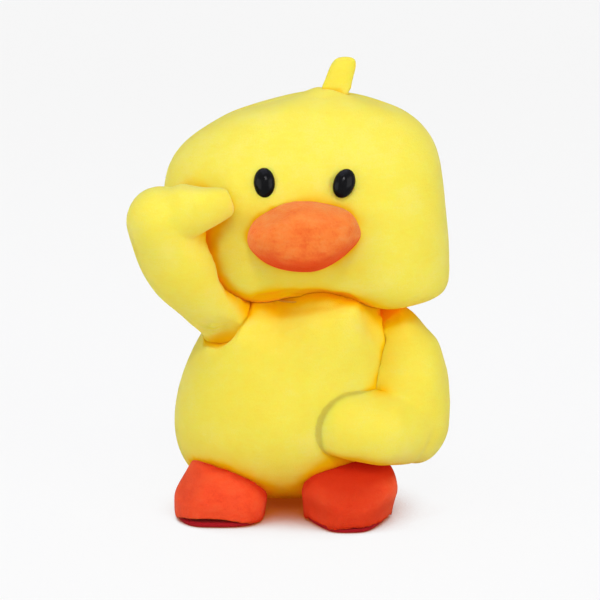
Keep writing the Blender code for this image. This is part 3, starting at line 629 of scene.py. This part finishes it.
tuftRoot = jointPlace("tuft_fold")
headPulls = (                # place, reach and move of each pull on the sewn form
    (tuftRoot + Vector((-0.006, 0, -0.002)), 0.015, (0.001, 0, 0.0030)),      # skin drawn up to the tuft
    (tuftRoot + Vector((-0.036, 0, -0.003)), 0.026, (0, 0, -0.0021)),
    ((0.062, -0.005, 0.212), 0.036, (0.0022, 0, 0.0004)),                    # full upper left corner
    ((0.044, -0.005, 0.228), 0.020, (0, 0, -0.0016)),
    ((0.080, -0.005, 0.178), 0.030, (-0.0014, 0, 0)),
    ((-0.069, -0.005, 0.188), 0.036, (-0.0022, 0, 0.0006)),
    ((0.080, -0.010, 0.122), 0.020, (0.0004, 0, 0.0012)),
    ((0.016, -0.046, 0.122), 0.044, (0, 0.0055, 0.0036)),                    # chin drawn in on the chest
    ((-0.022, -0.020, 0.121), 0.022, (0, 0, -0.0035)),
    ((0.048, -0.022, 0.121), 0.022, (0, 0, -0.0022)),
    ((-0.024, -0.050, 0.182), 0.030, (0, -0.0035, 0)),                       # cheek swells round the hand
)


def makeHead():
    form = {**skinForm, "seed": 3.0, "pulls": headPulls}
    piece = sewn("headSkin", form, "head_cover", "head_filling", pattern=("head_cover",))
    low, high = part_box("head_cover")
    back = (low.y + high.y) / 2 + form["headSeamBack"]

    def fromSeam(p):
        return p.y - back - form["headSeamWave"] * math.sin(p.z * form["headSeamTurns"])
    grooveAt(piece, fromSeam, form["seamWidth"], form["seamDepth"])
    return piece


bodyPulls = (
    ((-0.027, -0.018, 0.112), 0.024, (-0.001, -0.002, 0.0085)),              # shoulders pushed up by the arms
    ((0.046, -0.022, 0.110), 0.028, (0.000, -0.003, 0.0070)),
    ((0.028, -0.044, 0.114), 0.040, (0, -0.0085, 0.0095)),                   # chest swells under the chin
    ((-0.010, -0.040, 0.114), 0.020, (0, 0.0025, -0.0015)),                  # hollow left open beside it
    ((0.052, -0.014, 0.108), 0.022, (0.002, 0, 0.0060)),
    ((0.049, -0.034, 0.114), 0.022, (-0.0040, 0.0050, -0.0050)),             # round corner of the chest
    ((0.028, -0.046, 0.080), 0.036, (0, -0.0040, 0.0010)),                   # belly rises round the forearm
    ((0.004, -0.050, 0.056), 0.036, (0, -0.0020, 0)),
)


def makeBody():
    form = {**skinForm, "seed": 7.0, "pulls": bodyPulls}
    piece = sewn("bodySkin", form, "body_cover", "body_filling", "pellet_bag", pattern=("body_cover",))
    low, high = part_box("body_cover")
    middle = (low.x + high.x) / 2

    def fromSeam(p):     # the seam runs down the back only
        return p.x - middle if p.y > form["bodySeamFrom"] else 1
    grooveAt(piece, fromSeam, form["seamWidth"], form["seamDepth"])
    for v in piece.data.vertices:       # sits flat on the rump
        v.co.z = max(v.co.z, 0.0)
    return piece


headSkin = makeHead()
bodySkin = makeBody()
pressAgainst(bodySkin, [headSkin], skinForm["gap"])
print("head and body made")


# Arms

armForm = {
    "voxel": 0.0020, "eased": (8, 4, 10), "tuck": 0.0009, "cap": 0.0014, "levels": 1, "full": 0.0013,
    "lump": 0.0003, "lumpSize": 0.018, "seeds": {"right": 11.0, "left": 17.0},
    "gap": 0.0002, "cling": 0.006, "lastEased": 3, "blend": 0.014,
}
armPulls = {
    "right": (
        ((-0.046, -0.056, 0.160), 0.017, (-0.0040, 0, -0.0030)),             # fold inside the elbow
        ((-0.040, -0.036, 0.150), 0.022, (-0.0060, 0, 0)),
        ((-0.032, -0.034, 0.136), 0.020, (-0.0050, 0, 0)),
        ((-0.084, -0.034, 0.136), 0.034, (-0.0024, 0, -0.0008)),             # bows outward
        ((-0.040, -0.034, 0.096), 0.022, (0.001, 0.005, 0.0065)),            # root sinks into the body
        ((-0.042, -0.050, 0.193), 0.020, (0, 0, -0.0050)),                   # top of the hand lies level
        ((-0.026, -0.052, 0.184), 0.016, (-0.0065, 0.001, 0)),
    ),
    "left": (
        ((0.026, -0.060, 0.054), 0.036, (0, 0.0055, 0.002)),                 # forearm sinks into the belly
        ((0.070, -0.010, 0.112), 0.022, (-0.0040, 0, -0.0025)),              # round shoulder
        ((0.080, -0.014, 0.098), 0.022, (0.0012, 0, 0.0010)),
        ((0.088, -0.016, 0.080), 0.022, (-0.0024, 0, 0)),
        ((0.042, -0.050, 0.082), 0.022, (0, 0, -0.0040)),
        ((0.090, -0.020, 0.060), 0.034, (-0.0022, 0, 0)),
        ((0.080, -0.022, 0.036), 0.022, (-0.0022, 0, 0)),
        ((0.068, -0.022, 0.028), 0.022, (0, 0, -0.0016)),                    # elbow hangs low
    ),
}
armSoothed = {     # centre, radius and times
    "right": (((-0.042, -0.036, 0.102), 0.022, 50), ((-0.070, -0.050, 0.172), 0.030, 40)),
    "left": (((0.068, -0.042, 0.050), 0.034, 80), ((0.072, -0.012, 0.104), 0.028, 60)),
}
armPresses = {     # what it is pressed on, centre, radius and how far down it goes
    "right": (
        (headSkin, (-0.022, -0.056, 0.184), 0.030, 0.40),
        (bodySkin, (-0.042, -0.038, 0.096), 0.020, 0.50),
    ),
    "left": (
        (bodySkin, (0.016, -0.066, 0.058), 0.044, 0.55),
        (bodySkin, (0.040, -0.060, 0.078), 0.026, 0.20),
    ),
}
armFlares = {      # what it lies on, reach, spread, centre and radius
    "right": (
        (headSkin, 0.009, 0.0018, (-0.032, -0.050, 0.184), 0.026),
        (bodySkin, 0.008, 0.0045, (-0.036, -0.030, 0.104), 0.032),
    ),
    "left": (
        (bodySkin, 0.013, 0.0070, (0.024, -0.050, 0.062), 0.050),
        (bodySkin, 0.008, 0.0030, (0.056, -0.020, 0.095), 0.030),
    ),
}


def makeArm(side):
    form = {**armForm, "seed": armForm["seeds"][side], "pulls": armPulls[side]}
    piece = sewn(side + "Sleeve", form, side + "_upper_arm", side + "_forearm")
    for spot in armSoothed[side]:
        soothe(piece, *spot)
    for spot in armPresses[side]:
        flatten(piece, *spot)
    for spot in armFlares[side]:
        flare(piece, *spot)
    cling(piece, [headSkin, bodySkin], armForm["gap"], armForm["cling"])
    relax(piece, armForm["lastEased"])
    pressAgainst(piece, [headSkin, bodySkin], armForm["gap"])
    return piece


armPlaces = {      # which way each half of the arm runs
    "right": {"upper": Vector((-0.435, -0.365, 0.824)), "fore": Vector((0.86, -0.24, 0.38))},
    "left": {"upper": Vector((0.16, -0.12, -0.98)), "fore": Vector((-0.665, -0.745, 0.08))},
}
sleeves = [makeArm(side) for side in armPlaces]
hugs = (            # what swells, round which sleeve, centre, radius, reach and rise
    (bodySkin, sleeves[1], (0.012, -0.062, 0.060), 0.044, 0.010, (0, -0.0004, 0)),
    (headSkin, sleeves[0], (-0.024, -0.056, 0.184), 0.030, 0.012, (0, -0.0035, 0)),
    (bodySkin, sleeves[0], (-0.042, -0.036, 0.098), 0.026, 0.012, (-0.001, -0.0040, 0.0015)),
)
for spot in hugs:
    hug(*spot)
for (side, places), sleeve in zip(armPlaces.items(), sleeves):
    pressAgainst(sleeve, [headSkin, bodySkin], armForm["gap"])
    finishPiece(sleeve, yellowPlush, None, (side + "_upper_arm", side + "_forearm"))
    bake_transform(sleeve)
finishPiece(headSkin, yellowPlush, "head", ("head_cover", "head_filling"))
finishPiece(bodySkin, yellowPlush, "torso",
            ("body_cover", "body_filling", "pellet_bag"))
print("arms made")


# Bill, tuft, tail and feet

billPulls = (
    ((0.030, -0.060, 0.176), 0.016, (0.0018, 0, 0.0016)),                    # full upper corner
    ((0.028, -0.060, 0.150), 0.022, (-0.0024, 0, 0.0022)),                   # pinched below the left corner
    ((-0.016, -0.060, 0.176), 0.018, (0.0020, 0, -0.0024)),
    ((0.036, -0.050, 0.160), 0.010, (0.0012, 0, 0)),
    ((-0.026, -0.050, 0.158), 0.012, (-0.0006, 0, -0.0012)),
)
billForm = {
    "voxel": 0.0016, "eased": (6, 2, 2), "tuck": 0.0006, "cap": 0.0010, "levels": 1, "full": 0.0003,
    "pulls": billPulls,
}
billPillow = sewn("billPillow", billForm, "bill")
finishPiece(billPillow, billPlush, "head", ("bill",))

tuftForm = {
    "voxel": 0.0009, "eased": (3, 2, 2), "levels": 1, "full": 0.0003,
    "pulls": (((0.030, 0, 0.249), 0.016, (0.0022, 0, 0.0006)),),
}
tuftFinger = sewn("tuftFinger", tuftForm, "tuft")
finishPiece(tuftFinger, yellowPlush, "tuft", ("tuft",))

tailForm = {"voxel": 0.0013, "eased": (4, 2, 2), "levels": 1, "full": 0.0003, "gap": 0.0003}
tailStub = sewn("tailStub", tailForm, "tail")
pressAgainst(tailStub, [bodySkin], tailForm["gap"])
finishPiece(tailStub, yellowPlush, "tail", ("tail",))

soleForm = {"voxel": 0.0014, "eased": (2, 2, 2), "levels": 1, "full": 0.0003}
footForm = {
    "voxel": 0.0018, "eased": (5, 2, 8), "tuck": 0.0006, "cap": 0.0010, "levels": 1, "full": 0.0003,
    "evenTop": 0.016, "gap": 0.0003,
    "recess": (0.93, 0.95), "squareness": 2.4, "rimFrom": 1.12, "rimWidth": 0.2,
    "soleSize": (0.92, 0.945), "under": 0.0031, "soleGap": 0.0004, "gapeTop": 0.008,
    "right": {"turn": -5.0, "slit": (-0.064, -0.029), "gape": 0.0044},
    "left": {"turn": 5.0, "slit": (0.020, 0.046), "gape": 0.0024},
}
footPulls = {
    "right": (
        ((-0.065, -0.042, 0.030), 0.022, (0.0070, 0, -0.0010)),              # narrow top of the front
        ((-0.068, -0.044, 0.010), 0.022, (0.0022, 0.002, 0)),
        ((-0.068, -0.020, 0.028), 0.026, (0.0034, 0, -0.0006)),
        ((-0.040, -0.052, 0.002), 0.030, (0, 0.0040, 0.0004)),
        ((-0.030, -0.058, 0.020), 0.018, (0, 0.0015, 0)),
    ),
    "left": (
        ((0.008, -0.050, 0.004), 0.020, (0.0045, 0, 0)),                     # narrows to the toe
        ((0.052, -0.046, 0.003), 0.022, (-0.0050, 0.001, 0.0004)),
        ((0.049, -0.058, 0.018), 0.010, (-0.0010, 0.0022, 0)),               # dent in the side
        ((0.030, -0.060, 0.026), 0.016, (0, 0.0016, 0)),
    ),
}


def makeFoot(side):      # the upper comes down round the sole panel and gapes at the toe
    form = {**footForm, **footForm[side], "pulls": footPulls[side]}
    piece = sewn(side + "FootUpper", form, side + "_foot", side + "_sole")
    low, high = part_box(side + "_sole")
    middle, half = (low + high) / 2, (high - low) / 2
    turn = math.radians(form["turn"])
    wide, long = (size * share for size, share in zip(half[:2], form["recess"]))
    first, last = form["slit"]
    for v in piece.data.vertices:
        aside, ahead = v.co.x - middle.x, v.co.y - middle.y
        across = aside * math.cos(turn) + ahead * math.sin(turn)
        along = ahead * math.cos(turn) - aside * math.sin(turn)
        edge = abs(across / wide) ** form["squareness"] + abs(along / long) ** form["squareness"]
        inside = min(1.0, max(0.0, (form["rimFrom"] - edge) / form["rimWidth"]))
        v.co.z = max(v.co.z, form["under"] * inside)
        between = (v.co.x - first) / (last - first)
        if v.co.y < middle.y and 0 < between < 1 and v.co.z < form["gapeTop"]:
            opened = form["gape"] * math.sin(math.pi * between) ** 0.7
            v.co.z += opened * (1 - v.co.z / form["gapeTop"])
    pressAgainst(piece, [bodySkin], form["gap"])
    finishPiece(piece, footPlush, side + "_foot", (side + "_foot",))
    sole = sewn(side + "SolePanel", soleForm, side + "_sole")
    for v in sole.data.vertices:
        for axis, share in zip((0, 1), form["soleSize"]):
            v.co[axis] = middle[axis] + (v.co[axis] - middle[axis]) * share
        v.co.z = min(max(v.co.z, 0.0), form["under"] - form["soleGap"])
    for spot in form["pulls"]:
        pull(sole, *spot)
    finishPiece(sole, solePlush, side + "_foot", (side + "_sole",))
    return piece


footUppers = [makeFoot(side) for side in ("right", "left")]
print("bill, tuft, tail and feet made")


# Eyes and the hardware inside

for side in ("right", "left"):
    eye = copyOf(side + "EyeButton", side + "_eye")
    roundOff(eye, 2)
    finishPiece(eye, hardwareMaterial["eyePlastic"], "head", (side + "_eye",))

for name, node in nodes.items():
    if name.endswith("_washer"):
        finish = "washerPlastic"
    elif name.endswith("_wire"):
        finish = "armatureWire"
    elif name == "neck_thread":
        finish = "threadPolyester"
    else:
        continue
    node.data.materials.clear()
    node.data.materials.append(hardwareMaterial[finish])
print("eyes and hardware made")


# Painted shade: how shut in each point of the plush is, with more on the undersides, kept for the materials

paintedShadeLook = {
    "reach": 0.045, "rays": 32, "turn": 2.399963,      # the golden angle
    "offset": 0.0008, "cell": 0.003, "blur": 10, "strength": 1.9, "floor": -0.010, "floorHalf": 0.3,
    # painted shade on surfaces that face down, for each piece and for the rest
    "under": {"billPillow": 0.46, "headSkin": 0.22, "bodySkin": 0.10, "tuftFinger": 0.0,
              "rightSleeve": 0.10, "leftSleeve": 0.16},
    "underRest": 0.3,
    "touches": (             # place, reach and change of the painted shade: lighter where light still gets in, darker where it doesn't
        ((-0.026, -0.056, 0.182), 0.034, -0.42),         # hand on the cheek
        ((-0.044, -0.046, 0.192), 0.022, -0.35),
        ((-0.034, -0.040, 0.144), 0.028, -0.28),         # cheek beside the arm
        ((-0.044, -0.038, 0.100), 0.024, -0.40),         # root of the raised arm
        ((0.012, -0.064, 0.062), 0.034, -0.35),          # hand on the belly
        ((0.034, -0.056, 0.078), 0.026, -0.30),
        ((-0.012, -0.038, 0.121), 0.014, 0.45),          # neck
        ((0.024, -0.048, 0.121), 0.020, -0.30),          # chest that meets the chin
        ((-0.022, -0.034, 0.119), 0.010, 0.25),
        ((-0.006, -0.046, 0.104), 0.022, -0.35),
        ((0.049, -0.018, 0.113), 0.014, 0.20),           # below the chin's left corner
        ((0.018, 0.0, 0.238), 0.030, -0.30),             # foot of the tuft
        ((0.028, -0.050, 0.018), 0.036, 0.30),           # foot in the shade of the arm
    ),
}


def treeOfAll(pieces):      # with the floor that the duck stands on
    half, level = paintedShadeLook["floorHalf"], paintedShadeLook["floor"]
    corners = [Vector((x, y, level)) for x, y in ((-half, -half), (half, -half), (half, half), (-half, half))]
    faces = [(0, 1, 2, 3)]
    for piece in pieces:
        first = len(corners)
        corners += [v.co.copy() for v in piece.data.vertices]
        faces += [tuple(first + number for number in p.vertices) for p in piece.data.polygons]
    return BVHTree.FromPolygons(corners, faces)


def raysOver(count):     # spread evenly over half a ball
    rays = []
    for number in range(count):
        height = 1 - (number + 0.5) / count
        level, turn = math.sqrt(1 - height * height), number * paintedShadeLook["turn"]
        rays.append(Vector((level * math.cos(turn), level * math.sin(turn), height)))
    return rays


def shutInAt(v, tree, rays):     # nought in the open, more where something near keeps the light out
    facing = v.normal.to_track_quat("Z", "Y")
    start = v.co + v.normal * paintedShadeLook["offset"]
    total = 0.0
    for ray in rays:
        distance = tree.ray_cast(start, facing @ ray, paintedShadeLook["reach"])[3]
        if distance is not None:
            total += (1 - distance / paintedShadeLook["reach"]) * ray.z
    return paintedShadeLook["strength"] * total / len(rays)


def blurred(piece, values, times):     # each value evened with those of its neighbours
    edges = [tuple(e.vertices) for e in piece.data.edges]
    for number in range(times):
        total, count = values[:], [1] * len(values)
        for first, second in edges:
            total[first] += values[second]
            total[second] += values[first]
            count[first] += 1
            count[second] += 1
        values = [t / c for t, c in zip(total, count)]
    return values


def paintShade(piece, tree, rays):
    under = paintedShadeLook["under"].get(piece.name, paintedShadeLook["underRest"])
    known, values = {}, []
    for v in piece.data.vertices:
        key = (*(round(c / paintedShadeLook["cell"]) for c in v.co), *(round(c * 2) for c in v.normal))
        if key not in known:
            # painted shade: the shut-in share, and more where the surface faces down
            known[key] = min(1.0, shutInAt(v, tree, rays) + under * max(0.0, -v.normal.z))
        value = known[key]
        for centre, reach, change in paintedShadeLook["touches"]:
            near = nearness(v.co, centre, reach)
            if near > 0:
                value += change * near ** 2
        values.append(min(1.0, max(0.0, value)))
    # the painted shade is kept as a point attribute for the materials
    paintedShade = piece.data.attributes.new("paintedShade", "FLOAT", "POINT")
    paintedShade.data.foreach_set("value", blurred(piece, values, paintedShadeLook["blur"]))


plushPieces = [headSkin, bodySkin, *sleeves, billPillow, tuftFinger, tailStub, *footUppers]
plushTree, plushRays = treeOfAll(plushPieces), raysOver(paintedShadeLook["rays"])
for piece in plushPieces:
    paintShade(piece, plushTree, plushRays)
print("folds marked")


# Floor, light and camera

stageLook = {
    "floorSize": 6.0, "wallHeight": 3.0, "bend": 1.6, "bendParts": 16,
    "floor": 0.85, "lift": 0.93, "liftColour": (0.985, 0.985, 0.985, 1),
    "glow": (0.90, 0.34, 0.03, 1), "paintedContactShade": (0.36, 0.055, 0.003, 1),      # painted contact shadow on the floor close to the feet, dark red as if lit by light bounced off them
    "contactReach": 0.05, "contactRange": (0.10, 0.62), "contactLift": 0.55,
    "world": 0.90,
    "keyPower": 5.5, "keyPlace": (0.78, -0.68, 0.46), "keySize": 0.8,
    "fillPower": 7.0, "fillPlace": (-1.0, -0.60, 0.25), "fillSize": 1.0,
    "frontPower": 3.0, "frontPlace": (0.0, -0.85, 0.90), "frontSize": 0.20,
    "topPower": 4.2, "topPlace": (-0.15, -0.05, 1.25), "topSize": 1.0,
    "topColour": (0.97, 1.0, 1.45),
    "target": (0.0027, 0.0, 0.1155), "elevation": 12.0, "distance": 0.92, "lens": 100.0,
}


def makeStage():
    deselectAll()
    bpy.ops.mesh.primitive_plane_add(size=stageLook["floorSize"], location=(0, 0, 0))
    floor = bpy.context.object
    floor.name = "studioFloor"
    bpy.ops.object.mode_set(mode="EDIT")
    mesh = bmesh.from_edit_mesh(floor.data)
    for edge in mesh.edges:
        edge.select = all(v.co.y > 0 for v in edge.verts)
    bmesh.update_edit_mesh(floor.data)
    bpy.ops.mesh.extrude_region_move(TRANSFORM_OT_translate={"value": (0, 0, stageLook["wallHeight"])})
    bpy.ops.mesh.select_all(action="DESELECT")
    mesh = bmesh.from_edit_mesh(floor.data)
    for edge in mesh.edges:      # where the wall meets the floor
        edge.select = all(v.co.y > 0 and v.co.z < stageLook["bend"] for v in edge.verts)
    bmesh.update_edit_mesh(floor.data)
    bpy.ops.mesh.bevel(offset=stageLook["bend"], segments=stageLook["bendParts"], affect="EDGES")
    bpy.ops.object.mode_set(mode="OBJECT")
    bpy.ops.object.shade_smooth()
    made = bpy.data.materials.new("studioPaper")
    made.use_nodes = True
    tree = made.node_tree
    shader = tree.nodes["Principled BSDF"]
    # painted contact shadow: ambient occlusion turns the floor's colour and its camera lift dark red close to
    # the duck
    closed = nodeOf(tree, "ShaderNodeAmbientOcclusion", (-900, 0), samples=8)
    closed.inputs["Distance"].default_value = stageLook["contactReach"]
    clear = nodeOf(tree, "ShaderNodeMapRange", (-700, 0), interpolation_type="SMOOTHSTEP")
    tree.links.new(closed.outputs["AO"], clear.inputs["Value"])
    clear.inputs["From Min"].default_value, clear.inputs["From Max"].default_value = stageLook["contactRange"]
    paper = (stageLook["floor"],) * 3 + (1,)
    colour = mixOf(tree, (-480, 0), clear.outputs["Result"], stageLook["glow"], paper)
    tree.links.new(colour, shader.inputs["Base Color"])
    shader.inputs["Roughness"].default_value = 0.9
    shader.inputs["Specular IOR Level"].default_value = 0.1
    # the floor's lift to white, which turns dark red where the contact shadow is painted
    glow = nodeOf(tree, "ShaderNodeEmission", (0, -300))
    lifted = mixOf(tree, (-200, -300), clear.outputs["Result"],
                   stageLook["paintedContactShade"], stageLook["liftColour"])
    tree.links.new(lifted, glow.inputs["Color"])
    path = nodeOf(tree, "ShaderNodeLightPath", (-700, 300))
    seen = mathOf(tree, "MAXIMUM", (-480, 300), path.outputs["Is Camera Ray"], path.outputs["Is Glossy Ray"])
    seen = mathOf(tree, "MAXIMUM", (-320, 300), seen, path.outputs["Is Transmission Ray"])
    share = mathOf(tree, "MULTIPLY", (-160, 300), seen, stageLook["lift"])
    kept = mathOf(tree, "MULTIPLY_ADD", (-160, 180), clear.outputs["Result"], 1 - stageLook["contactLift"])
    kept.node.inputs[2].default_value = stageLook["contactLift"]
    share = mathOf(tree, "MULTIPLY", (0, 300), share, kept)
    mix = nodeOf(tree, "ShaderNodeMixShader", (300, 0))
    tree.links.new(share, mix.inputs[0])
    tree.links.new(shader.outputs[0], mix.inputs[1])
    tree.links.new(glow.outputs[0], mix.inputs[2])
    tree.links.new(mix.outputs[0], tree.nodes["Material Output"].inputs["Surface"])
    floor.data.materials.append(made)


def addLamp(name, kind):
    lamp = bpy.data.lights.new(name, "AREA")
    lamp.energy = stageLook[kind + "Power"]
    lamp.size = stageLook[kind + "Size"]
    lamp.color = stageLook.get(kind + "Colour", (1, 1, 1))
    made = bpy.data.objects.new(name, lamp)
    made.location = stageLook[kind + "Place"]
    aim = Vector(stageLook["target"]) - made.location
    made.rotation_euler = aim.to_track_quat("-Z", "Y").to_euler()
    scene.collection.objects.link(made)


makeStage()
for kind in ("key", "fill", "front", "top"):
    addLamp(kind + "Lamp", kind)
scene.world = bpy.data.worlds.new("studio")
scene.world.use_nodes = True
background = scene.world.node_tree.nodes["Background"]
background.inputs["Color"].default_value = (1, 1, 1, 1)
background.inputs["Strength"].default_value = stageLook["world"]

camera = bpy.data.objects.new("camera", bpy.data.cameras.new("camera"))
camera.data.lens = stageLook["lens"]
camera.data.sensor_width = 36
lean = math.radians(stageLook["elevation"])
away = Vector((0, -math.cos(lean), math.sin(lean)))
camera.location = Vector(stageLook["target"]) + away * stageLook["distance"]
camera.rotation_euler = (math.radians(90) - lean, 0, 0)
scene.collection.objects.link(camera)
scene.camera = camera
print("stage made")

deselectAll()
